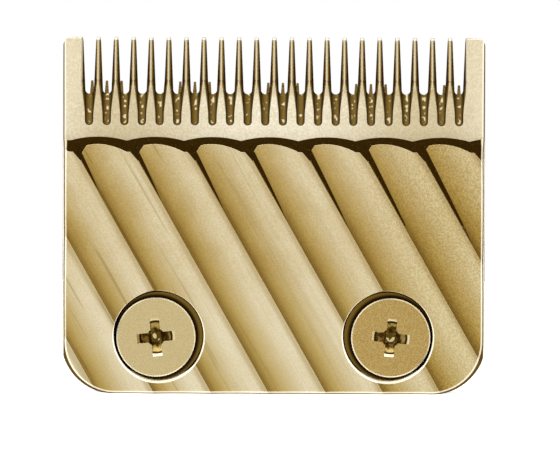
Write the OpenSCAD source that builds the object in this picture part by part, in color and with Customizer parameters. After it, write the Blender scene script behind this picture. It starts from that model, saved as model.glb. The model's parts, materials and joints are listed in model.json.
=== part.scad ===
// Adjustable hair clipper blade head: fluted fixed blade, moving cutter and the
// bracket, taper slide, yoke and spring that carry the cutter behind it.
// Frame: X across the blade, Z towards the teeth, -Y is the outer fluted face.
// Origin: midway between the two housing bolts, on the bracket's back face.
// All sizes are millimetres.

/* [Fixed blade] */
// Width across the back face
comb_w = 45.9; // [45.5:0.1:47]
// Height from the bottom edge to the tooth tips
comb_h = 38.65; // [38:0.05:40]
// Distance from the bottom edge up to the screw axes
edge_drop = 6.1; // [6:0.1:6.6]
// Thickness from the back face to the tops of the ridges
body_t = 4.1; // [3.9:0.1:4.6]
// Radius of the two bottom corners
foot_r = 5.7; // [3:0.1:6]
// How much narrower the front is than the back, on each side
side_draft = 0.3; // [0:0.05:0.5]

/* [Flutes] */
// Distance between ridges, measured across the blade
flute_pitch = 6.2; // [6:0.05:6.5]
// Angle of the flutes from the vertical
flute_angle = 29.5; // [25:0.5:33]
// Radius of each concave flute
flute_r = 4.4; // [4.2:0.1:5]

/* [Fixed teeth] */
// Number of gaps between the fixed teeth
gap_count = 22; // [16:1:22]
// Distance from one gap to the next
tooth_pitch = 1.912; // [1.8:0.004:1.92]
// Width of a tooth at its tip
tine_tip_w = 0.56; // [0.5:0.02:0.6]
// Radius of the round lower end of each gap
gap_r = 0.46; // [0.4:0.01:0.48]
// Radius of the round groove that leads into each gap, at its closed end
groove_r = 0.45; // [0.35:0.01:0.46]

/* [Cutter] */
// Number of teeth on the moving cutter
cutter_teeth = 28; // [20:1:28]
// Distance from one cutter tooth to the next
cutter_pitch = 1.596; // [1.5:0.002:1.6]
// Thickness of the cutter
cutter_t = 1.5; // [1.3:0.1:1.8]
// Sideways place of the cutter at rest
cutter_x = 0.02; // [-0.5:0.02:0.5]
// Play of the cutter on its pins, as a turn at rest
cutter_turn = 0.58; // [0:0.02:0.6]

/* [Screws] */
// Distance between the two blade screws
screw_pitch = 25.4; // [25.4]
// Diameter of the screw heads
head_d = 8.56; // [8:0.02:8.6]
// Diameter of the blade screw thread
thread_d = 3.5; // [3:0.1:3.6]

/* [Bracket] */
// Distance between the two housing bolts
bolt_pitch = 38; // [37.6:0.2:38.4]
// Tapping diameter of the housing bolts
bolt_d = 2.5; // [2:0.1:2.6]
// Travel of the taper slide towards the tips
taper_travel = 3.5; // [2:0.1:3.6]
// Diameter of the stud that the taper lever moves
stud_d = 2.6; // [2.2:0.1:2.8]
// Width of the fork slot that takes the drive eccentric
fork_slot = 4.3; // [4.2:0.05:4.6]
// Wire diameter of the tension spring
wire_d = 0.9; // [0.7:0.05:0.9]

/* [Hidden] */
$fn = 48;

eps = 0.01;
film = 0.03;                       // oil film between cutter and fixed blade

// Planes of the stack, from the outer face (-Y) to the mounting face (0)
comb_y = -9.2;                     // back face of the fixed blade
ridge_y = comb_y - body_t;         // tops of the ridges
plate_t = 2.2;                     // bracket back plate
slide_t = 1.8;                     // taper slide plate
slide_y = -plate_t - 0.1;          // back face of the taper slide
slide_front = slide_y - slide_t;
wall_front = slide_front - 0.1;    // front of the bracket walls beside the slide
cutter_front = comb_y + film;
cutter_back = cutter_front + cutter_t;
yoke_back = -5.6;

// Heights
foot_z = -edge_drop;
tip_z = comb_h - edge_drop;
nose_z = 21.7;                     // foot of the body's wavy upper end
groove_z = 23.4;                   // centre of each groove's round end
gap_z = 26.4;                      // lower end of the see-through gap
plateau_t = 1.55;                  // tooth plate at the foot of the body
tip_t = 0.5;
knee_z = groove_z + 0.6;            // the plate thins from here to the tips
knee_y = comb_y - plateau_t + 0.12;
tine_fall = atan((comb_y - tip_t - knee_y) / (tip_z - tip_t / 2 - knee_z));
groove_fall = 10;                  // slope of the floor of each groove
tine_draft = 6;                    // each side of a tooth narrows this much outwards
facet_x = 0.88;                    // facets nearly meet along the middle of each tooth
facet_z = 27.5;                    // and spread apart below this
facet_depth = 0.42;

nose_r = 11.5;                     // plan radius of one lobe of the upper end
nose_slope = 0.56;                 // run of the end wall for each unit of rise
nose_x = -0.46;                    // lobe nearest the middle
flute_x = -0.55;                   // flute nearest the middle, at flute_z
flute_z = 10.5;
roll_x = 0.26;                     // how far the second cut of a flute moves left
roll_depth = 0.22;                 // and how much deeper it gets towards the teeth
roll_slope = 0.8;                  // run of the wall on its left for each unit of rise
roll_run = 7.5;                    // its length on the middle lobe
roll_grow = 1.1;                   // and how much longer it is on each lobe to the right
roll_gain = 0.1;                   // share it widens and deepens by on each lobe
corner_end = 11.3;                 // trimmed corners start this far along the flute
corner_slope = 1.06;
lobe_end = (nose_z - flute_z) / cos(flute_angle);
ridge_half = flute_pitch * cos(flute_angle) / 2;
flute_sag = flute_r - sqrt(flute_r * flute_r - ridge_half * ridge_half);
bore_r = 4.9;                      // counterbore at its rim
bore_depth = 2.3;
bore_in = 0.3;                     // counterbores sit this far inboard
bore_up = 0.15;
head_t = 1.6;
head_y = ridge_y + bore_depth;     // seat of the screw heads

strip_x = 18.3;                    // line of the guide strip screws
strip_zs = [8.6, 17.6];
stud_z = 12.2;
pin_x = 9;
pin_z = 14.6;
spring_z = 7.5;                    // axis of the spring coils
spring_y = -5.3;
coil_r = 1.5;
tip_row_z = 13;                    // where the spring tips bear on the yoke
wire_y = yoke_back + 0.2;          // centre line of the spring tips
bridge_y = slide_front + 0.48;     // centre line of the clamped bridge
bridge_z = 7.6;
clamp_x = 3.4;

// Extrudes an outline drawn in X and Z from y0 to y1
module across(y0, y1) {
    translate([0, y1, 0]) rotate([90, 0, 0]) linear_extrude(y1 - y0) children();
}

// Extrudes a profile drawn in Y and Z from x0 to x1
module along(x0, x1) {
    translate([x0, 0, 0]) rotate([90, 0, 90]) linear_extrude(x1 - x0) children();
}

// Round bar or cone along Y; ra is the radius at y0
module bar_y(x, z, y0, y1, ra, rb = -1) {
    translate([x, y0, z]) rotate([-90, 0, 0])
        cylinder(r1 = ra, r2 = rb < 0 ? ra : rb, h = y1 - y0);
}

// Block between two corners
module block(a, b) {
    translate(a) cube(b - a);
}

// Outline with bottom corners of radius r and top corners of radius rt
module outline(half, z0, z1, r, rt) {
    difference() {
        translate([-half, z0]) square([2 * half, z1 - z0]);
        for (s = [-1, 1]) {
            corner(s, half, z0, r, 1);
            corner(s, half, z1, rt, -1);
        }
    }
}

// Waste outside one rounded corner; up is 1 at the bottom and -1 at the top
module corner(s, half, z, r, up) {
    difference() {
        translate([s * (half - r / 2 + 1), z + up * (r / 2 - 1)])
            square(r + 2, center = true);
        translate([s * (half - r), z + up * r]) circle(r);
        translate([s * (half - r) - (s > 0 ? 10 : 0), z - 10]) square([10, 20]);
        translate([s * (half - r) - 10, z + up * r - (up > 0 ? 0 : 10)]) square([20, 10]);
    }
}

// ---------------------------------------------------------------- fixed blade

// Tooth plate, thinning towards rounded tips
module tooth_plate() {
    nose = tip_t / 2;
    along(-comb_w / 2, comb_w / 2) union() {
        polygon([[comb_y, foot_z], [comb_y, tip_z - nose], [comb_y - tip_t, tip_z - nose],
                 [knee_y, knee_z], [comb_y - plateau_t, nose_z - 4],
                 [comb_y - plateau_t, foot_z]]);
        translate([comb_y - nose, tip_z - nose]) circle(nose);
    }
}

// Thick body, ended by a sloping wall with a row of lobes
module body_lobes() {
    wall = body_t - plateau_t;
    intersection() {
        block([-comb_w / 2, ridge_y, foot_z], [comb_w / 2, comb_y, nose_z + 1]);
        union() {
            block([-comb_w, ridge_y - 1, foot_z - 1], [comb_w, comb_y, nose_z - 5]);
            for (k = [-4 : 4])
                bar_y(nose_x + k * flute_pitch, nose_z - nose_r, ridge_y, comb_y - plateau_t + eps,
                      nose_r - nose_slope * wall, nose_r);
        }
    }
}

// Places its children on flute k: Z up along the flute, X square across it
module flute_frame(k) {
    translate([flute_x + k * flute_pitch, 0, flute_z]) rotate([0, -flute_angle, 0]) children();
}

// Concave flutes, a row of slanting cylinders
module flutes() {
    for (k = [-5 : 5]) flute_frame(k)
        translate([0, ridge_y + flute_sag - flute_r, 0])
            cylinder(r = flute_r, h = 90, center = true, $fn = 96);
}

// Second cuts that lower the left side of each flute near the teeth, and leave a
// sloping wall below the ridge on its left
module flute_rolls() {
    for (k = [-4 : 4]) {
        run = roll_run + k * roll_grow;
        gain = 1 + k * roll_gain;
        flute_frame(k) intersection() {
            translate([0, ridge_y + flute_sag - flute_r, lobe_end - run])
                rotate([-atan(gain * roll_depth / run), -atan(gain * roll_x / run), 0])
                    cylinder(r = flute_r, h = 40, $fn = 96);
            translate([-ridge_half + 0.04, ridge_y, 0]) beyond(0, roll_slope);
        }
    }
}

// Waste beyond a plane that starts on the ridge line, faces the way of turn about
// the thickness, and moves that way by slope for each unit of depth
module beyond(turn, slope) {
    rotate([0, turn, 0]) rotate([0, 0, -atan(slope)]) block([0, -10, -60], [60, 60, 60]);
}

// Trims the upper left corner of each lobe and the end of the ridge beside it
module lobe_corners() {
    for (k = [-4 : 5]) flute_frame(k) intersection() {
        block([-4, ridge_y - 1, 0], [1, comb_y - plateau_t, lobe_end + 5]);
        translate([-ridge_half, ridge_y, corner_end]) beyond(-98, corner_slope);
        translate([-ridge_half, ridge_y, corner_end]) beyond(-18, roll_slope);
    }
}

// See-through part of a gap: a slot with a round lower end, flared at the tips
module gap_slot() {
    half = (tooth_pitch - tine_tip_w) / 2;
    flare = half + 0.09;
    across(comb_y - 4, comb_y + 1) union() {
        translate([0, gap_z + gap_r]) circle(gap_r);
        polygon([[-gap_r, gap_z + gap_r], [-half, tip_z - 0.5], [-flare, tip_z + 0.1],
                 [flare, tip_z + 0.1], [half, tip_z - 0.5], [gap_r, gap_z + gap_r]]);
    }
}

// Slanting facet along one edge of a gap: x is where it meets the tooth's face at
// height z, and lean is its sideways slope
module gap_facet(x, z, lean, length) {
    face = knee_y + (z - knee_z) * tan(tine_fall);
    translate([x, face, z]) rotate([-tine_fall, lean, 0]) translate([0, 0, -0.1])
        linear_extrude(length)
            polygon([[0.3, -0.3], [-facet_depth, facet_depth], [-facet_depth - 0.2, -0.3]]);
}

// One gap between two fixed teeth: drafted slot, side facets and round groove
module tooth_gap() {
    for (a = [-tine_draft, tine_draft])
        translate([0, comb_y, 0]) rotate([0, 0, a]) translate([0, -comb_y, 0]) gap_slot();
    translate([0, comb_y - plateau_t + 0.1, groove_z]) {
        sphere(groove_r);
        rotate([-groove_fall, 0, 0])
            cylinder(r1 = groove_r, r2 = groove_r + 0.1, h = gap_z + 0.6 - groove_z);
    }
    foot_x = groove_r + 0.03;
    foot_up = knee_z + 0.3;
    lean = atan((facet_x - foot_x) / (facet_z - foot_up));
    for (s = [0, 1]) mirror([s, 0, 0]) {
        gap_facet(facet_x, facet_z, 0, tip_z - facet_z + 3);
        gap_facet(foot_x, foot_up, lean, facet_z - foot_up + 0.5);
    }
}

module fixed_blade() {
    color("goldenrod") difference() {
        intersection() {
            union() {
                tooth_plate();
                body_lobes();
            }
            across(ridge_y - 1, comb_y + 1) outline(comb_w / 2, foot_z, tip_z, foot_r, 1);
            translate([0, 0, foot_z - 1]) linear_extrude(comb_h + 2)
                polygon([[-comb_w / 2, comb_y], [comb_w / 2, comb_y],
                         [comb_w / 2 - side_draft, ridge_y], [-comb_w / 2 + side_draft, ridge_y]]);
        }
        flutes();
        flute_rolls();
        lobe_corners();
        for (i = [0 : gap_count - 1])
            translate([(i - (gap_count - 1) / 2) * tooth_pitch, 0, 0]) tooth_gap();
        for (s = [-1, 1]) {
            bar_y(s * (screw_pitch / 2 - bore_in), bore_up, ridge_y - 1, head_y,
                  bore_r + 0.1, bore_r - 0.15);
            bar_y(s * screw_pitch / 2, 0, head_y - 1, comb_y + 1, thread_d / 2 + 0.5);
        }
        // oil channel across the back face
        block([-comb_w, comb_y - 0.4, 10.5], [comb_w, comb_y + 1, 18.5]);
    }
}

// --------------------------------------------------------------------- cutter

cutter_w = 43.1;
cutter_foot = 8.6;
cutter_tip = 27.65;
cutter_root = 22.6;

module cutter_gap() {
    tip_half = cutter_pitch / 2 - 0.12;
    across(cutter_front - 1, cutter_back + 1) union() {
        translate([0, cutter_root]) circle(0.3);
        polygon([[-0.3, cutter_root], [-0.54, cutter_root + 3.2], [-tip_half, cutter_tip + 0.01],
                 [-tip_half, cutter_tip + 1], [tip_half, cutter_tip + 1],
                 [tip_half, cutter_tip + 0.01], [0.54, cutter_root + 3.2], [0.3, cutter_root]]);
    }
}

module cutter_blade() {
    color("darkgoldenrod")
    translate([cutter_x, 0, pin_z]) rotate([0, cutter_turn, 0]) translate([0, 0, -pin_z])
        difference() {
            intersection() {
                along(-cutter_w / 2, cutter_w / 2)
                    polygon([[cutter_front, cutter_foot], [cutter_front, cutter_tip],
                             [cutter_front + 0.35, cutter_tip], [cutter_back, cutter_root - 1],
                             [cutter_back, cutter_foot]]);
                across(cutter_front - 1, cutter_back + 1)
                    outline(cutter_w / 2, cutter_foot, cutter_tip + 0.2, 2, 0.1);
            }
            for (i = [0 : cutter_teeth - 2])
                translate([(i - (cutter_teeth - 2) / 2) * cutter_pitch, 0, 0]) cutter_gap();
            // relief channel on the cutting side
            block([-cutter_w, cutter_front - 1, 11.6], [cutter_w, cutter_front + 0.35, 20.6]);
            for (s = [-1, 1])
                bar_y(s * pin_x, pin_z, cutter_front - 1, cutter_back + 1, 1.6);
            across(cutter_front - 1, cutter_back + 1)
                outline(3.2, cutter_foot - 1, 11, 0.1, 1.2);
        }
}

// --------------------------------------------------------------------- screws

// Flat headed screw with a cross recess; y is the seat under the head
module cross_screw(x, z, y, hd, ht, sd, length, turn, slot_w, slot_l) {
    rim = 0.12;
    difference() {
        union() {
            bar_y(x, z, y - ht + rim, y, hd / 2);
            bar_y(x, z, y - ht, y - ht + rim, hd / 2 - rim, hd / 2);
            bar_y(x, z, y - eps, y + length - 0.4, sd / 2);
            bar_y(x, z, y + length - 0.4, y + length, sd / 2, sd / 2 - 0.4);
        }
        translate([x, y - ht, z]) rotate([0, turn, 0]) {
            // four wings that slope down to a deep middle
            for (a = [0, 90]) rotate([0, a, 0])
                translate([0, 0, -slot_w / 2]) linear_extrude(slot_w)
                    polygon([[-slot_l / 2, -1], [-slot_l / 2, 0.12 * ht],
                             [-slot_w / 2, 0.85 * ht], [slot_w / 2, 0.85 * ht],
                             [slot_l / 2, 0.12 * ht], [slot_l / 2, -1]]);
            rotate([-90, 0, 0]) cylinder(r1 = slot_w * 0.95, r2 = slot_w * 0.4, h = 0.85 * ht);
        }
    }
}

module blade_screw(s) {
    color("gold") cross_screw(s * screw_pitch / 2, 0, head_y, head_d, head_t, thread_d,
                              8, 5.5 * s, 1.04, 4.1);
}
module blade_screw_left() { blade_screw(-1); }
module blade_screw_right() { blade_screw(1); }

// -------------------------------------------------------------------- bracket

bracket_half = 21.2;
bracket_foot = foot_z + 0.4;
bracket_top = 20.6;
boss_r = 4.9;
window_half = 7.2;
window_top = 9.2;
slide_half = 16;

module bracket() {
    color("dimgray") difference() {
        union() {
            across(-plate_t, 0)
                outline(bracket_half, bracket_foot, bracket_top, 5.3, 3);
            // walls beside the slide
            intersection() {
                across(wall_front, -plate_t + eps)
                    outline(bracket_half, bracket_foot, bracket_top, 5.3, 3);
                for (s = [-1, 1])
                    block([s > 0 ? slide_half + 0.1 : -bracket_half, -20, 5.2],
                          [s > 0 ? bracket_half : -slide_half - 0.1, 0, 22]);
            }
            // seat for the fixed blade, with a boss round each screw
            intersection() {
                across(comb_y, -plate_t + eps)
                    outline(bracket_half, bracket_foot, 5.2, 5.3, 0.5);
                for (s = [-1, 1]) {
                    block([s > 0 ? 16.6 : -bracket_half, -20, -6],
                          [s > 0 ? bracket_half : -16.6, 0, 5.2]);
                    block([s > 0 ? 8.4 : -bracket_half, -20, -6],
                          [s > 0 ? bracket_half : -8.4, 0, -3]);
                    bar_y(s * screw_pitch / 2, 0, -20, 0, boss_r);
                }
            }
        }
        // open window for the drive eccentric and the fork of the yoke
        across(-20, 1) outline(window_half, bracket_foot - 1, window_top, 0.1, 2);
        for (s = [-1, 1]) {
            bar_y(s * screw_pitch / 2, 0, -20, 1, 2.9);
            bar_y(s * bolt_pitch / 2, 0, -6.5, 1, bolt_d / 2);
            for (z = strip_zs) bar_y(s * strip_x, z, wall_front - 1, -1, 0.85);
        }
        // slot for the taper stud
        across(-5, 1) {
            for (z = [stud_z, stud_z + taper_travel]) translate([0, z]) circle(1.8);
            translate([-1.8, stud_z]) square([3.6, taper_travel]);
        }
    }
}

module screw_bush(s) {
    color("peru") difference() {
        bar_y(s * screw_pitch / 2, 0, comb_y, -0.8, 2.9);
        bar_y(s * screw_pitch / 2, 0, comb_y - 1, 1, thread_d / 2 + 0.04);
        for (y = [-7, -3.2])
            translate([s * screw_pitch / 2, y, 0]) rotate([-90, 0, 0])
                rotate_extrude() translate([2.9, 0]) circle(0.3);
    }
}
module screw_bush_left() { screw_bush(-1); }
module screw_bush_right() { screw_bush(1); }

strip_t = 0.9;

module guide_strip(s) {
    color("silver") difference() {
        block([s > 0 ? 14.6 : -20.4, wall_front - strip_t, 6.4],
              [s > 0 ? 20.4 : -14.6, wall_front, 19.6]);
        for (z = strip_zs) bar_y(s * strip_x, z, -20, 0, 1.05);
    }
}
module guide_strip_left() { guide_strip(-1); }
module guide_strip_right() { guide_strip(1); }

module strip_screw(s, z) {
    color("silver") cross_screw(s * strip_x, z, wall_front - strip_t, 3.2, 0.8, 1.6, 3.6,
                                20 * s + 3 * z, 0.4, 1.6);
}
module strip_screw_left_upper() { strip_screw(-1, strip_zs[1]); }
module strip_screw_left_lower() { strip_screw(-1, strip_zs[0]); }
module strip_screw_right_upper() { strip_screw(1, strip_zs[1]); }
module strip_screw_right_lower() { strip_screw(1, strip_zs[0]); }

// --------------------------------------------------------------- taper slide

slide_foot = 5.7;
slide_top = 17;

module taper_slide() {
    color("dimgray") difference() {
        across(slide_front, slide_y) outline(slide_half, slide_foot, slide_top, 1, 2);
        // pockets for the spring coils
        for (s = [-1, 1])
            block([s * 8.9 - 2.5, -10, slide_foot - 1], [s * 8.9 + 2.5, 0, spring_z + 2.4]);
        // groove for the bridge of the spring
        translate([-7, bridge_y, bridge_z]) rotate([0, 90, 0]) cylinder(r = 0.5, h = 14);
        block([-7, slide_front - 1, bridge_z - 0.5], [7, bridge_y, bridge_z + 0.5]);
        bar_y(0, stud_z, -10, 0, 1.5);
        for (s = [-1, 1]) bar_y(s * clamp_x, 9.6, -10, slide_y - 0.4, 0.75);
    }
}

module taper_stud() {
    color("silver") union() {
        bar_y(0, stud_z, slide_front, 0, 1.5);
        bar_y(0, stud_z, -eps, 0.4, stud_d / 2 - 0.25);
        bar_y(0, stud_z, 0.4 - eps, 2.4, stud_d / 2);
        bar_y(0, stud_z, 2.4, 2.7, stud_d / 2, stud_d / 2 - 0.3);
    }
}

module spring_clamp() {
    color("silver") difference() {
        across(slide_front - 0.6, slide_front) outline(5.2, 6.6, 11, 0.8, 0.8);
        for (s = [-1, 1]) bar_y(s * clamp_x, 9.6, -20, 0, 0.9);
    }
}

module spring_screw(s) {
    color("silver") cross_screw(s * clamp_x, 9.6, slide_front - 0.6, 2.4, 0.5, 1.4, 1.8,
                                30 * s, 0.35, 1.3);
}
module spring_screw_left() { spring_screw(-1); }
module spring_screw_right() { spring_screw(1); }

// -------------------------------------------------------------- tension spring

coil_turns = 2.5;
coil_x0 = 7;                       // inner end of each coil
coil_x1 = coil_x0 + coil_turns * (wire_d + 0.12);
coil_steps = 14;                   // rings in one turn

// Centre line of the right half, from the bridge's middle to the tip
half_wire = concat(
    [[0, bridge_y, bridge_z], [3, bridge_y, bridge_z], [6, bridge_y, bridge_z]],
    [for (i = [0 : coil_turns * coil_steps])
        let (a = 90 - 360 * i / coil_steps, f = i / (coil_turns * coil_steps))
        [coil_x0 + f * (coil_x1 - coil_x0), spring_y + coil_r * sin(a), spring_z - coil_r * cos(a)]],
    [[coil_x1 + 0.2, spring_y - coil_r + 0.1, spring_z + 0.9],
     [coil_x1 + 0.3, wire_y - 0.3, spring_z + 2.6], [coil_x1 + 0.3, wire_y, spring_z + 3.5],
     [coil_x1 + 0.3, wire_y, tip_row_z - 0.9], [coil_x1, wire_y, tip_row_z - 0.25],
     [coil_x1 - 0.6, wire_y, tip_row_z], [coil_x1 - 3.3, wire_y, tip_row_z]]);
wire_path = concat(
    [for (i = [len(half_wire) - 1 : -1 : 1]) [-half_wire[i][0], half_wire[i][1], half_wire[i][2]]],
    half_wire);

function unit(v) = v / norm(v);
function lead(p, i) = unit(p[min(i + 1, len(p) - 1)] - p[max(i - 1, 0)]);
function square_to(n, t) = unit(n - (n * t) * t);

// Tube of radius r swept along the points p
module tube(p, r, sides = 10) {
    count = len(p);
    normals = [for (i = 0, n = square_to([0, 0.3, 1], lead(p, 0)); i < count;
                    i = i + 1, n = i < count ? square_to(n, lead(p, i)) : n) n];
    rings = [for (i = [0 : count - 1], k = [0 : sides - 1])
        let (a = 360 * k / sides, b = cross(lead(p, i), normals[i]))
        p[i] + r * (cos(a) * normals[i] + sin(a) * b)];
    skin = [for (i = [0 : count - 2], k = [0 : sides - 1])
        let (j = (k + 1) % sides)
        [i * sides + k, i * sides + j, (i + 1) * sides + j, (i + 1) * sides + k]];
    caps = [[for (k = [sides - 1 : -1 : 0]) k],
            [for (k = [0 : sides - 1]) (count - 1) * sides + k]];
    polyhedron(rings, [for (f = concat(skin, caps)) [for (i = [len(f) - 1 : -1 : 0]) f[i]]]);
}

module tension_spring() {
    color("silver") tube(wire_path, wire_d / 2);
}

// --------------------------------------------------------------- cutter yoke

fork_half = 4.7;
fork_foot = -4.8;
fork_top = 5;

module cutter_yoke() {
    yoke_front = cutter_back + film;
    color([0.1, 0.1, 0.1]) translate([cutter_x, 0, 0]) difference() {
        union() {
            across(yoke_front, yoke_back) outline(13, 11.2, 17.4, 1, 1);
            across(yoke_front, yoke_back) outline(fork_half, 4, 12, 0.2, 0.2);
            across(comb_y + 0.7, -2.7) outline(fork_half, fork_foot, fork_top, 1, 1);
        }
        across(-20, 1) union() {
            translate([-fork_slot / 2, fork_foot - 1]) square([fork_slot, 7.5]);
            translate([0, fork_foot + 6.5]) circle(fork_slot / 2);
        }
        // grooves that take the tips of the spring
        for (s = [-1, 1])
            translate([s * 9 - 4.4, wire_y, tip_row_z]) rotate([0, 90, 0])
                cylinder(r = wire_d / 2 + 0.05, h = 8.8);
        // reliefs that the spring arms pass through
        for (s = [-1, 1])
            block([s * 10.6 - 2.7, wire_y - 0.6, 11], [s * 10.6 + 2.7, 0, tip_row_z - 0.3]);
        for (s = [-1, 1]) bar_y(s * pin_x, pin_z, -20, 0, 1.2);
    }
}

module yoke_pin(s) {
    color("silver") translate([cutter_x, 0, 0]) union() {
        bar_y(s * pin_x, pin_z, cutter_back + film, yoke_back, 1.2);
        bar_y(s * pin_x, pin_z, cutter_front + 0.4, cutter_back + film, 1.5);
    }
}
module yoke_pin_left() { yoke_pin(-1); }
module yoke_pin_right() { yoke_pin(1); }

fixed_blade();
cutter_blade();
blade_screw_left();
blade_screw_right();
bracket();
screw_bush_left();
screw_bush_right();
guide_strip_left();
guide_strip_right();
strip_screw_left_upper();
strip_screw_left_lower();
strip_screw_right_upper();
strip_screw_right_lower();
taper_slide();
taper_stud();
tension_spring();
spring_clamp();
spring_screw_left();
spring_screw_right();
cutter_yoke();
yoke_pin_left();
yoke_pin_right();
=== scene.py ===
"""Looks for the hair clipper blade head: materials, studio light, floor and camera."""

import json
import math
from types import SimpleNamespace

import bpy
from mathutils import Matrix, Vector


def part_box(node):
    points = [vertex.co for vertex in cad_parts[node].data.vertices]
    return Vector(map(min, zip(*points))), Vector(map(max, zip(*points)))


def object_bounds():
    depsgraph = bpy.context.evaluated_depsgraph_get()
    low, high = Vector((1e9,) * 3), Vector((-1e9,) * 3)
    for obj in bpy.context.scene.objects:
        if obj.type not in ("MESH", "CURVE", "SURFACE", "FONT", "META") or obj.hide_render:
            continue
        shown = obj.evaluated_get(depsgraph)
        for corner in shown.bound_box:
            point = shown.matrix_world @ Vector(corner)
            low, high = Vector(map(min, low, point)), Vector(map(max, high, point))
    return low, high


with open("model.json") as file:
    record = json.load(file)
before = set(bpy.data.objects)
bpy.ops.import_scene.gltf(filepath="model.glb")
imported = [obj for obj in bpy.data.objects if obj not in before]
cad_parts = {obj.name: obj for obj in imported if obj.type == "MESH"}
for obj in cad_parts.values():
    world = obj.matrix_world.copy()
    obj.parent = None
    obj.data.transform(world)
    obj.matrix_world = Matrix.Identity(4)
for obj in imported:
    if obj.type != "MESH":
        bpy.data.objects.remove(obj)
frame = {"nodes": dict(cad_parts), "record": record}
cad_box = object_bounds()
scene = bpy.context.scene
nodes = frame["nodes"]

MM = 0.001
FLUTE_LEAN = math.radians(30)                 # within a degree of the flutes' own lean
ACROSS = (math.cos(FLUTE_LEAN), 0, math.sin(FLUTE_LEAN))     # square across the flutes
UP_FLUTE = (-math.sin(FLUTE_LEAN), 0, math.cos(FLUTE_LEAN))  # along them, towards the teeth

blade_low, blade_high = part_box("fixed_blade")
screw_low, screw_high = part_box("blade_screw_right")

# Places on the blade and its screws, in millimetres
RIDGE_Y = blade_low.y / MM                    # tops of the ridges
SEAT_Y = RIDGE_Y + 2.3                        # floor of the counterbores
HEAD_Y = RIDGE_Y + 0.7                        # face of the screw heads
PLATE_Y = blade_high.y / MM - 1.55            # face of the tooth plate
FOOT_Z = blade_low.z / MM                     # bottom edge
TEETH_Z = blade_high.z / MM - 8.55            # where the teeth start to thin
TOOTH_FALL = 0.116                            # they thin by about this for each unit of height
GAP_Z = TEETH_Z + 2.6                         # just above the foot of the open gaps
END_TOOTH_X = 20.8                            # just past the inner sides of the wide end teeth
GROOVED_X = 21.9                              # every groove lies inside this
SIDE_X = 22.5                                 # just inside the blade's sides
WALL_Z = 12.0                                 # the end wall of the body lies above this
SCREW_X = (screw_low.x + screw_high.x) / 2 / MM
HEAD_R = 4.28
RECESS_R = 3.3                                # wider than a cross recess
BORE_X = SCREW_X - 0.3                        # counterbores sit a little inboard
BORE_Z = 0.15
BORE_R = 4.9                                  # at the rim
NEAR_SCREW = 5.4                              # wider than a counterbore
CORNER_R = 5.7                                # two bottom corners
SIDE_DRAFT = 0.3                              # each side closes in this much towards the ridges
SIDE_SLOPE = 0.073                            # and this much for each unit of depth
CORNER_X = blade_high.x / MM - SIDE_DRAFT - CORNER_R   # middle of the corners at the ridges

# ------------------------------------------------------------------ node helpers


class Shader:
    """A node tree with short ways to add and join nodes."""

    def __init__(self, tree):
        self.tree = tree
        self.tree.nodes.clear()

    def add(self, kind, inputs=None, **props):
        node = self.tree.nodes.new(kind)
        for key, value in props.items():
            setattr(node, key, value)
        for key, value in (inputs or {}).items():
            self.put(value, node.inputs[key])
        return node

    def put(self, value, socket):
        if isinstance(value, bpy.types.NodeSocket):
            self.tree.links.new(value, socket)
        else:
            socket.default_value = value

    def math(self, operation, a, b=0.0, clamp=False):
        node = self.add("ShaderNodeMath", {0: a, 1: b}, operation=operation)
        node.use_clamp = clamp
        return node.outputs[0]

    def times(self, *factors):
        product = factors[0]
        for factor in factors[1:]:
            product = self.math("MULTIPLY", product, factor)
        return product

    def most(self, *factors):
        highest = factors[0]
        for factor in factors[1:]:
            highest = self.math("MAXIMUM", highest, factor)
        return highest

    def less(self, a, b):
        return self.math("SUBTRACT", a, b)

    def dot(self, vector, axis):
        node = self.add("ShaderNodeVectorMath", {0: vector, 1: axis}, operation="DOT_PRODUCT")
        return node.outputs["Value"]

    def span(self, value, low, high, to_low=0.0, to_high=1.0, smooth=True):
        kind = "SMOOTHSTEP" if smooth else "LINEAR"
        node = self.add("ShaderNodeMapRange", {0: value, 1: low, 2: high, 3: to_low, 4: to_high},
                        interpolation_type=kind)
        return node.outputs[0]

    def mix(self, factor, a, b, blend="MIX"):
        node = self.add("ShaderNodeMix", {0: factor, 6: a, 7: b}, data_type="RGBA",
                        blend_type=blend)
        return node.outputs[2]

    def ramp(self, value, stops):
        node = self.add("ShaderNodeValToRGB", {0: value})
        marks = node.color_ramp.elements
        while len(marks) < len(stops):
            marks.new(0.5)
        for mark, (place, color) in zip(marks, stops):
            mark.position = place
            mark.color = (*color, 1)
        return node.outputs[0]

    def noise(self, vector, scale, detail=2.0, roughness=0.5):
        node = self.add("ShaderNodeTexNoise", {"Vector": vector, "Scale": scale,
                                               "Detail": detail, "Roughness": roughness})
        return node.outputs[0]


def rgb(red, green, blue):
    return (red, green, blue, 1.0)


def millimetres(shader, rotation=(0, 0, 0), scale=(1, 1, 1)):
    """The object's own coordinates in millimetres, turned and stretched."""
    place = shader.add("ShaderNodeTexCoord").outputs["Object"]
    turned = shader.add("ShaderNodeMapping", {"Vector": place, "Rotation": rotation})
    size = tuple(s / MM for s in scale)
    return shader.add("ShaderNodeVectorMath", {0: turned.outputs[0], 1: size},
                      operation="MULTIPLY").outputs[0]


def new_material(name):
    material = bpy.data.materials.new(name)
    material.use_nodes = True
    return material, Shader(material.node_tree)


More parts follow.
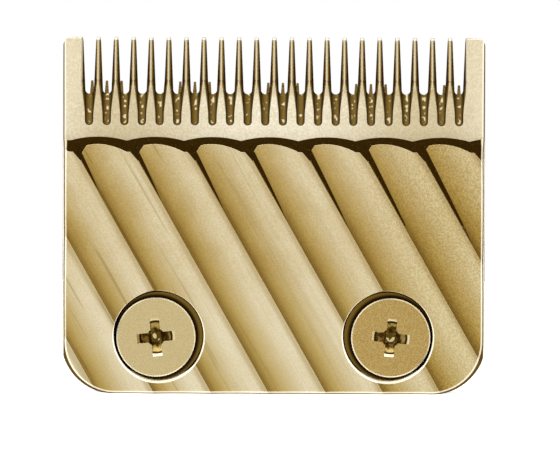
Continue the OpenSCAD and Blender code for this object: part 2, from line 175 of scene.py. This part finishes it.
def finish_material(shader, color, roughness, metallic, height=None, depth=0.0, edge=0.05,
                    **constants):
    """Principled surface with optional bump and softly rounded edges."""
    rounded = shader.add("ShaderNodeBevel", {"Radius": edge * MM}, samples=6).outputs[0]
    if height is not None:
        rounded = shader.add("ShaderNodeBump", {"Height": height, "Distance": depth * MM,
                                                "Strength": 1.0, "Normal": rounded}).outputs[0]
    surface = shader.add("ShaderNodeBsdfPrincipled", {"Base Color": color, "Normal": rounded,
                                                      "Roughness": roughness,
                                                      "Metallic": metallic, **constants})
    out = shader.add("ShaderNodeOutputMaterial")
    shader.tree.links.new(surface.outputs[0], out.inputs[0])


# --------------------------------------------------------------------- materials


def radius_from(shader, inside, height, x, z):
    """Distance in millimetres from the point x, z on the nearer side of the blade."""
    offset = shader.add("ShaderNodeCombineXYZ", {0: shader.less(inside, x), 1: 0.0,
                                                 2: shader.less(height, z)}).outputs[0]
    return shader.add("ShaderNodeVectorMath", {0: offset}, operation="LENGTH").outputs["Value"]


def near_screws(shader, inside, height, radius):
    """One within a radius of a blade screw's axis, nothing elsewhere."""
    away = radius_from(shader, inside, height, SCREW_X, 0.0)
    return shader.span(away, radius + 0.05, radius)


def blade_point(s):
    """Where a point of the gold blade is, how its surface faces, and its grain."""
    point = SimpleNamespace(place=millimetres(s))
    point.across, point.depth, point.height = s.add("ShaderNodeSeparateXYZ",
                                                    {0: point.place}).outputs
    point.inside = s.math("ABSOLUTE", point.across)
    facing = s.add("ShaderNodeTexCoord").outputs["Normal"]
    point.flat = s.dot(facing, (0, -1, 0))        # 1 on a face that looks to the front
    point.upward = s.dot(facing, (0, 0, 1))
    point.turned = s.dot(facing, (1, 0, 0))
    point.grain = s.noise(point.place, 5.0, detail=3, roughness=0.65)
    point.blotch = s.noise(point.place, 0.35, detail=2)
    turn = (0, FLUTE_LEAN, 0)
    point.drawn = s.noise(millimetres(s, turn, (9, 1, 0.22)), 1.0, detail=4, roughness=0.6)
    return point


def blade_zones(s, point):
    """How much a point belongs to each zone of the gold blade, from 0 to 1."""
    inside, depth, height, flat = point.inside, point.depth, point.height, point.flat
    zone = SimpleNamespace()
    above = s.span(height, TEETH_Z - 4.4, TEETH_Z - 4.2)
    zone.plate = s.times(s.span(depth, PLATE_Y - 0.3, PLATE_Y - 0.2), above)
    lower = s.span(height, TEETH_Z + 3.6, TEETH_Z + 1.6)
    ends = s.span(inside, END_TOOTH_X - 0.05, END_TOOTH_X + 0.05)
    zone.matte = s.times(zone.plate, s.most(lower, ends))
    gaps = s.span(height, GAP_Z, GAP_Z + 0.8)
    zone.tine = s.times(gaps, zone.plate, s.span(inside, END_TOOTH_X, END_TOOTH_X - 0.1))

    # grooves and gaps, and their steep sides, but not the ground back face; these get painted
    # shade
    outer = s.span(flat, -0.6, -0.4)
    teeth = s.span(height, TEETH_Z - 1.6, TEETH_Z - 1.5)
    thinning = s.times(s.most(s.less(height, TEETH_Z), 0.0), TOOTH_FALL)
    fall = s.less(s.less(depth, PLATE_Y), thinning)
    fall = s.less(fall, s.times(gaps, 0.08))
    zone.sunk = s.times(s.span(fall, 0.10, 0.20), teeth,
                        s.span(inside, GROOVED_X, GROOVED_X - 0.2), outer)
    zone.steep = s.times(zone.sunk, s.span(flat, 0.5, 0.3))

    # the wavy end wall of the body and the wedges that run down from it, which get painted shade
    zone.wall = s.times(s.span(flat, 0.77, 0.74), s.span(point.upward, 0.15, 0.25),
                        s.span(height, WALL_Z, WALL_Z + 0.1), s.less(1.0, teeth),
                        s.span(inside, SIDE_X, SIDE_X - 0.1))

    # counterbore walls and floors, for painted shade, and their lower walls, for a painted
    # highlight
    near = s.times(near_screws(s, inside, height, NEAR_SCREW), outer)
    zone.bore = s.times(near, s.span(flat, 0.3, 0.2))
    zone.seat = s.times(near, s.span(depth, SEAT_Y - 0.2, SEAT_Y - 0.1))
    zone.lit = s.times(zone.bore, s.span(point.upward, 0.72, 0.86))
    # everything that gets near black painted shade
    zone.dark = s.most(zone.wall, zone.steep, zone.bore)
    return zone


def flute_tone(s, point):
    """Drawn gold: paler towards the bottom edge, darker and sandy towards the right, partly
    stained and partly painted shade, with dark lines of oil, mostly on the left, and fine bright
    scratches."""
    turn = (0, FLUTE_LEAN, 0)
    scratch = s.noise(millimetres(s, turn, (22, 1, 0.3)), 1.0)
    oil = s.noise(millimetres(s, turn, (1.6, 1, 0.05)), 1.0, detail=3)
    tone = s.mix(s.span(point.blotch, 0.3, 0.7), rgb(0.84, 0.71, 0.46), rgb(0.90, 0.79, 0.56))
    tone = s.mix(s.times(s.span(point.drawn, 0.38, 0.62), 0.30), tone, rgb(0.76, 0.61, 0.34))
    tone = s.mix(s.span(point.grain, 0.62, 0.38), tone, rgb(0.90, 0.87, 0.80), "MULTIPLY")
    tone = s.mix(s.span(point.height, 11.0, 0.0, 0.0, 0.4), tone, rgb(1.0, 0.93, 0.72))
    # darker towards the right: partly a stained, sandy tone and partly painted shade
    stain_and_shade = s.span(s.math("ADD", point.across, s.times(point.blotch, 16.0)), 13.0, 27.0)
    sand = s.mix(s.span(point.grain, 0.38, 0.62), rgb(0.80, 0.75, 0.59), rgb(0.96, 0.92, 0.77))
    tone = s.mix(stain_and_shade, tone, sand, "MULTIPLY")
    oily = s.times(s.span(oil, 0.58, 0.66), s.span(point.across, 4.0, -18.0, 0.25, 1.0))
    tone = s.mix(s.times(oily, 0.5), tone, rgb(0.46, 0.34, 0.13))
    return s.mix(s.times(s.span(scratch, 0.66, 0.72), 0.5), tone, rgb(0.98, 0.92, 0.76))


def plate_tone(s, point):
    """Pale ground tooth plate with a painted highlight: brightest in the middle, painted shade
    towards the sides, a little brighter again at the ends.
    """
    pale = s.mix(s.span(point.grain, 0.36, 0.64), rgb(0.88, 0.81, 0.66), rgb(1.0, 0.98, 0.92))
    # painted shade away from the middle of the plate, eased again near the ends
    plate_painted_shade = s.less(s.span(point.inside, 3.0, 16.0), s.span(point.inside, 18.5, 22.0, 0.0, 0.45))
    return s.mix(plate_painted_shade, pale, rgb(0.76, 0.71, 0.59), "MULTIPLY")


def tooth_painted_light(s, point):
    """Painted light on each tooth: a painted highlight on the crest that faces the front, between
    a side painted gold and a side painted in deeper shade.
    """
    # one side of each tooth lighter, the other darker, by which way it faces: painted shade
    facet_shade = s.mix(s.span(point.turned, -0.25, 0.25), rgb(0.80, 0.62, 0.30), rgb(0.36, 0.24, 0.07))
    # the crest that faces the front: painted highlight
    return s.mix(s.span(point.flat, 0.93, 0.97), facet_shade, rgb(1.0, 0.97, 0.88))


def paint_recess_shade(s, point, zone, color):
    """Painted shade in the hollows: brown in corners and round the counterbore floors, dark gold
    with painted glints in the grooves, near black on the walls, and a painted highlight on the
    lower wall of each counterbore."""
    # painted shade: darker where ambient occlusion finds the point hemmed in
    occlusion = s.add("ShaderNodeAmbientOcclusion", {"Distance": 1.6 * MM}, samples=8, only_local=True)
    occlusion_shade = s.times(s.span(occlusion.outputs["AO"], 0.80, 0.30), s.less(1.0, zone.plate))
    brown = s.mix(s.span(point.grain, 0.4, 0.62), rgb(0.10, 0.055, 0.010), rgb(0.26, 0.17, 0.04))
    color = s.mix(occlusion_shade, color, brown)
    # counterbore floors: painted shade, near black by the screw head, brown further out
    away = radius_from(s, point.inside, point.height, SCREW_X, 0.0)
    floor = s.mix(s.span(away, 4.45, 4.85), rgb(0.02, 0.01, 0.002), rgb(0.24, 0.15, 0.035))
    color = s.mix(zone.seat, color, floor)
    # painted glints along the middle of the grooves
    groove_glint = s.times(s.span(s.noise(point.place, 2.6, detail=0), 0.60, 0.68),
                   s.span(point.flat, 0.86, 0.95))
    # grooves in painted shade, darker on their steep sides
    bronze = s.mix(s.span(point.flat, 0.35, 0.95), rgb(0.06, 0.03, 0.005), rgb(0.25, 0.165, 0.045))
    color = s.mix(zone.sunk, color, s.mix(groove_glint, bronze, rgb(0.92, 0.84, 0.60)))
    # end wall, steep groove sides and counterbore walls: near black painted shade
    black = s.mix(s.span(point.grain, 0.62, 0.72), rgb(0.030, 0.015, 0.002), rgb(0.16, 0.10, 0.02))
    color = s.mix(zone.dark, color, black)
    # lower counterbore walls: painted highlight
    return s.mix(zone.lit, color, rgb(0.95, 0.92, 0.80))


def from_corners(s, point):
    """Equals CORNER_R along the blade's sides and bottom edge, and is less inside them."""
    drafted = s.times(s.less(point.depth, RIDGE_Y), SIDE_SLOPE)
    outward = s.add("ShaderNodeCombineXYZ", {
        0: s.most(s.less(s.less(point.inside, drafted), CORNER_X), 0.0), 1: 0.0,
        2: s.most(s.less(FOOT_Z + CORNER_R, point.height), 0.0)}).outputs[0]
    return s.add("ShaderNodeVectorMath", {0: outward}, operation="LENGTH").outputs["Value"]


def edge_light_and_shade(s, point, color):
    """Painted highlights on the counterbore rims and the points of the teeth, and a cream painted
    highlight inside a dark painted shade round the outline, standing for rounded edges. Also says
    how much of each point they cover."""
    ring = radius_from(s, point.inside, point.height, BORE_X, BORE_Z)
    lower = radius_from(s, point.inside, point.height, BORE_X, BORE_Z - 0.13)
    # painted highlight on the counterbore rims
    rim = s.times(s.span(ring, BORE_R - 0.04, BORE_R),
                  s.span(lower, BORE_R + 0.12, BORE_R + 0.08),
                  s.span(point.flat, 0.5, 0.7))
    # painted highlights at the points of the teeth
    tips = s.times(s.span(point.height, TEETH_Z + 8.25, TEETH_Z + 8.3),
                   s.span(point.flat, 0.3, 0.5),
                   s.span(point.inside, END_TOOTH_X - 0.2, END_TOOTH_X - 0.3))
    edge = from_corners(s, point)
    # cream painted highlight just inside the outline
    cream = s.times(s.span(edge, CORNER_R - 0.30, CORNER_R - 0.24),
                    s.span(edge, CORNER_R - 0.10, CORNER_R - 0.14))
    bright = s.most(rim, tips, s.times(cream, 0.8))
    color = s.mix(bright, color, rgb(1.0, 0.98, 0.90))
    # dark painted shade round the outline
    outline_shade = s.span(edge, CORNER_R - 0.12, CORNER_R - 0.08)
    color = s.mix(outline_shade, color, rgb(0.10, 0.06, 0.012))
    # the front part of the side faces is pale: painted reflection
    side = s.times(outline_shade, s.span(point.flat, 0.3, 0.2),
                   s.span(point.depth, PLATE_Y + 0.7, PLATE_Y + 0.5))
    color = s.mix(side, color, rgb(0.92, 0.88, 0.74))
    return color, s.most(bright, outline_shade)


def gold_blade():
    """Gold coated steel: drawn lines along the flutes, a matte ground tooth plate, and painted
    shade on the walls, grooves and counterbores, with painted highlights and shade along the
    edges."""
    material, s = new_material("gold_blade")
    point = blade_point(s)
    zone = blade_zones(s, point)
    color = s.mix(zone.matte, flute_tone(s, point), plate_tone(s, point))
    color = s.mix(zone.tine, color, tooth_painted_light(s, point))
    color = paint_recess_shade(s, point, zone, color)
    color, lines = edge_light_and_shade(s, point, color)
    # the zones in painted shade and the painted edge marks are not metallic
    metallic = s.math("SUBTRACT", 1.0, zone.dark, clamp=True)
    metallic = s.math("SUBTRACT", metallic, s.times(zone.matte, 0.4), clamp=True)
    metallic = s.less(metallic, s.times(lines, metallic))
    rough = s.math("ADD", s.span(point.drawn, 0.3, 0.7, 0.17, 0.24), s.times(zone.matte, 0.26))
    rough = s.math("ADD", rough, s.times(zone.dark, 0.25))
    relief = s.math("ADD", s.times(point.drawn, 0.6),
                    s.times(point.grain, s.span(zone.matte, 0, 1, 0.5, 1.0)))
    finish_material(s, color, rough, metallic, relief, 0.006, edge=0.09,
                    **{"Specular IOR Level": 0.0})
    return material


def recess_shade_and_glints(s, place, radius):
    """Cross recess in painted shade: a painted glint in the middle, near black painted shade round
    it, painted highlights at the ends.
    """
    glints = s.noise(place, 1.3, detail=1)
    # patches of painted shade and painted glints
    tone = s.mix(s.span(glints, 0.42, 0.60), rgb(0.07, 0.04, 0.006), rgb(0.36, 0.26, 0.09))
    tone = s.mix(s.span(radius, 0.75, 0.55), tone, rgb(0.13, 0.08, 0.015))
    # painted glint in the middle
    spark = s.times(s.span(radius, 0.5, 0.4), s.span(glints, 0.5, 0.52))
    tone = s.mix(spark, tone, rgb(0.9, 0.8, 0.5))
    # near black painted shade
    tone = s.mix(s.span(radius, 1.55, 1.62), tone, rgb(0.04, 0.02, 0.003))
    # painted highlights at the ends
    return s.mix(s.span(radius, 1.80, 1.84), tone, rgb(0.85, 0.74, 0.46))


def gold_screw(name, tone, dark, coarse):
    """Faced gold screw head with a fine grain, a chamfer painted pale as a highlight and a cross
    recess in painted shade.
    """
    material, s = new_material(name)
    place = millimetres(s)
    across, depth, height = s.add("ShaderNodeSeparateXYZ", {0: place}).outputs
    inside = s.math("ABSOLUTE", across)
    radius = radius_from(s, inside, height, SCREW_X, 0.0)
    grain = s.noise(place, 7.0, detail=3, roughness=0.65)
    color = s.mix(s.span(grain, 0.35, 0.65), dark, tone)
    recess = s.times(s.span(depth, HEAD_Y + 0.12, HEAD_Y + 0.2),
                     near_screws(s, inside, height, RECESS_R))
    color = s.mix(recess, color, recess_shade_and_glints(s, place, radius))
    # the chamfer is painted pale: painted highlight
    chamfer = s.times(s.span(radius, HEAD_R - 0.15, HEAD_R - 0.10),
                      s.span(depth, HEAD_Y + 0.2, HEAD_Y + 0.12))
    color = s.mix(chamfer, color, rgb(0.90, 0.84, 0.66))
    rough = s.less(s.span(grain, 0.3, 0.7, 0.22, 0.34), s.times(recess, 0.08))
    finish_material(s, color, rough, s.less(1.0, chamfer), grain, 0.004 * coarse, edge=0.03,
                    **{"Specular IOR Level": 0.0})
    return material


def dark_gold():
    """Coated cutter steel, painted darker gold for the shade it lies in, ground across the teeth.
    """
    material, s = new_material("bronze_cutter")
    lines = millimetres(s, scale=(0.4, 1, 8))
    ground = s.noise(lines, 1.0, detail=3)
    # darker gold for the cutter: painted shade
    color = s.mix(s.span(ground, 0.3, 0.7), rgb(0.20, 0.13, 0.04), rgb(0.36, 0.25, 0.10))
    finish_material(s, color, s.span(ground, 0.3, 0.7, 0.24, 0.36), 1.0, ground, 0.006)
    return material


def steel(name, low, high, rough, scale=(1, 1, 1)):
    """Plain bright metal with faint working marks."""
    material, s = new_material(name)
    marks = s.noise(millimetres(s, scale=scale), 6.0, detail=3)
    color = s.mix(s.span(marks, 0.3, 0.7), low, high)
    finish_material(s, color, s.span(marks, 0.3, 0.7, rough, rough + 0.1), 1.0, marks, 0.004)
    return material


def die_cast():
    """Satin black paint over a fine cast texture."""
    material, s = new_material("die_cast")
    place = millimetres(s)
    cast = s.noise(place, 2.6, detail=4, roughness=0.6)
    color = s.mix(s.span(cast, 0.35, 0.65), rgb(0.018, 0.018, 0.02), rgb(0.04, 0.04, 0.043))
    finish_material(s, color, s.span(cast, 0.3, 0.7, 0.36, 0.5), 0.0, cast, 0.03, edge=0.15)
    return material


def acetal():
    """Moulded black acetal: faintly waxy, slightly uneven."""
    material, s = new_material("black_acetal")
    place = millimetres(s)
    skin = s.noise(place, 4.0, detail=3)
    color = s.mix(s.span(skin, 0.3, 0.7), rgb(0.012, 0.012, 0.014), rgb(0.026, 0.026, 0.028))
    finish_material(s, color, s.span(skin, 0.3, 0.7, 0.28, 0.4), 0.0, skin, 0.008, edge=0.12)
    return material


def paint_nodes():
    """Give every piece the material of its slot, and the two blade screws their own."""
    plated = steel("plated_steel", rgb(0.62, 0.62, 0.6), rgb(0.78, 0.77, 0.74), 0.16)
    spring = steel("spring_steel", rgb(0.5, 0.5, 0.5), rgb(0.7, 0.7, 0.69), 0.2, (0.3, 3, 3))
    by_slot = {
        "gold_blade": gold_blade(),
        "bronze_cutter": dark_gold(),
        "die_cast": die_cast(),
        "bush_brass": steel("bush_brass", rgb(0.62, 0.46, 0.2), rgb(0.8, 0.63, 0.32), 0.2),
        "spring_steel": spring,
        "plated_steel": plated,
        "black_acetal": acetal(),
    }
    screws = {
        "blade_screw_left": gold_screw("gold_screw_pale", rgb(0.86, 0.76, 0.52),
                                       rgb(0.76, 0.64, 0.38), 1.0),
        "blade_screw_right": gold_screw("gold_screw_deep", rgb(0.76, 0.59, 0.29),
                                        rgb(0.54, 0.38, 0.13), 1.8),
    }
    for part in frame["record"]["subparts"]:
        name = part["node"]
        node = nodes[name]
        node.data.materials.clear()
        node.data.materials.append(screws.get(name) or by_slot[part["material_slot"]])


# ------------------------------------------------------------- light, floor, camera

# Studio brightness from one side of the flutes to the other: near white low on the left,
# except at its very end, then warmer and darker up to the right.
STUDIO = (
    (0.00, (0.30, 0.22, 0.08)),
    (0.03, (0.42, 0.32, 0.12)),
    (0.07, (0.88, 0.87, 0.82)),
    (0.20, (0.88, 0.87, 0.82)),
    (0.35, (0.81, 0.78, 0.69)),
    (0.50, (0.72, 0.66, 0.50)),
    (0.72, (0.62, 0.52, 0.28)),
    (0.88, (0.47, 0.36, 0.13)),
    (0.97, (0.26, 0.17, 0.04)),
    (1.00, (0.16, 0.10, 0.02)),
)
DARK = rgb(0.020, 0.012, 0.003)

# The view's width, and how far its middle lies from the blade's, in millimetres
VIEW_WIDTH = 60.5
VIEW_RIGHT = 0.68
VIEW_DOWN = 1.05
VIEW_ROLL = math.radians(-0.2)


def studio_world():
    """Soft studio: a broad graded front, strip lights at the sides and above, a fill from
    behind and a dark surround, in front of a white backdrop."""
    world = bpy.data.worlds.new("studio")
    scene.world = world
    world.use_nodes = True
    s = Shader(world.node_tree)
    look = s.add("ShaderNodeTexCoord").outputs["Generated"]
    side = s.span(s.dot(look, ACROSS), -1.0, 1.0, smooth=False)
    front = s.ramp(side, STUDIO)
    depth = s.dot(look, (0, 1, 0))
    right = s.dot(look, (1, 0, 0))
    above = s.dot(look, (0, 0, 1))
    # brighter towards the two ends of the flutes, where only matte faces look
    ends = s.span(s.math("ABSOLUTE", s.dot(look, UP_FLUTE)), 0.40, 0.62)
    front = s.mix(ends, front, rgb(1.5, 1.45, 1.3))
    color = s.mix(s.span(depth, -0.30, -0.16), front, DARK)
    # soft fill for the faces that look backwards
    color = s.mix(s.span(depth, 0.45, 0.75), color, rgb(0.74, 0.72, 0.66))
    # bright strips on the far left, on the far right and above
    left_strip = s.times(s.span(right, -0.75, -0.92), s.span(depth, 0.22, 0.12))
    color = s.mix(left_strip, color, rgb(0.95, 0.93, 0.86))
    right_strip = s.times(s.span(right, 0.90, 0.96), s.span(depth, 0.22, 0.16),
                          s.span(depth, -0.14, -0.06))
    color = s.mix(right_strip, color, rgb(1.6, 1.6, 1.5))
    top_strip = s.times(s.span(above, 0.88, 0.94), s.span(depth, 0.35, 0.2))
    color = s.mix(top_strip, color, rgb(3.0, 3.0, 2.9))
    seen = s.add("ShaderNodeLightPath").outputs["Is Camera Ray"]
    color = s.mix(seen, color, rgb(1, 1, 1))
    back = s.add("ShaderNodeBackground", {"Color": color, "Strength": 1.0})
    out = s.add("ShaderNodeOutputWorld")
    s.tree.links.new(back.outputs[0], out.inputs[0])


def make_floor():
    """Plain pale floor just under the blade's bottom edge."""
    half = 1.2
    low = cad_box[0].z - 0.02 * MM
    mesh = bpy.data.meshes.new("floor")
    corners = [(-half, -half, low), (half, -half, low), (half, half, low), (-half, half, low)]
    mesh.from_pydata(corners, [], [(0, 1, 2, 3)])
    floor = bpy.data.objects.new("floor", mesh)
    scene.collection.objects.link(floor)
    material, s = new_material("pale_floor")
    surface = s.add("ShaderNodeBsdfPrincipled", {"Base Color": rgb(0.9, 0.9, 0.9),
                                                 "Roughness": 0.9,
                                                 "Emission Color": rgb(1, 1, 1),
                                                 "Emission Strength": 0.75})
    out = s.add("ShaderNodeOutputMaterial")
    s.tree.links.new(surface.outputs[0], out.inputs[0])
    mesh.materials.append(material)
    floor.visible_glossy = False


def make_camera():
    """Long lens, square on to the fluted face."""
    camera = bpy.data.cameras.new("camera")
    camera.lens = 350
    camera.sensor_width = 36
    camera.clip_start, camera.clip_end = 0.01, 10
    piece = bpy.data.objects.new("camera", camera)
    scene.collection.objects.link(piece)
    back_off = VIEW_WIDTH * MM * camera.lens / camera.sensor_width
    middle = (blade_low + blade_high) / 2
    piece.location = (middle.x + VIEW_RIGHT * MM, blade_low.y - back_off,
                      middle.z - VIEW_DOWN * MM)
    piece.rotation_euler = (math.radians(90), VIEW_ROLL, 0)
    scene.camera = piece


scene.view_settings.view_transform = "Standard"
paint_nodes()
studio_world()
make_floor()
make_camera()
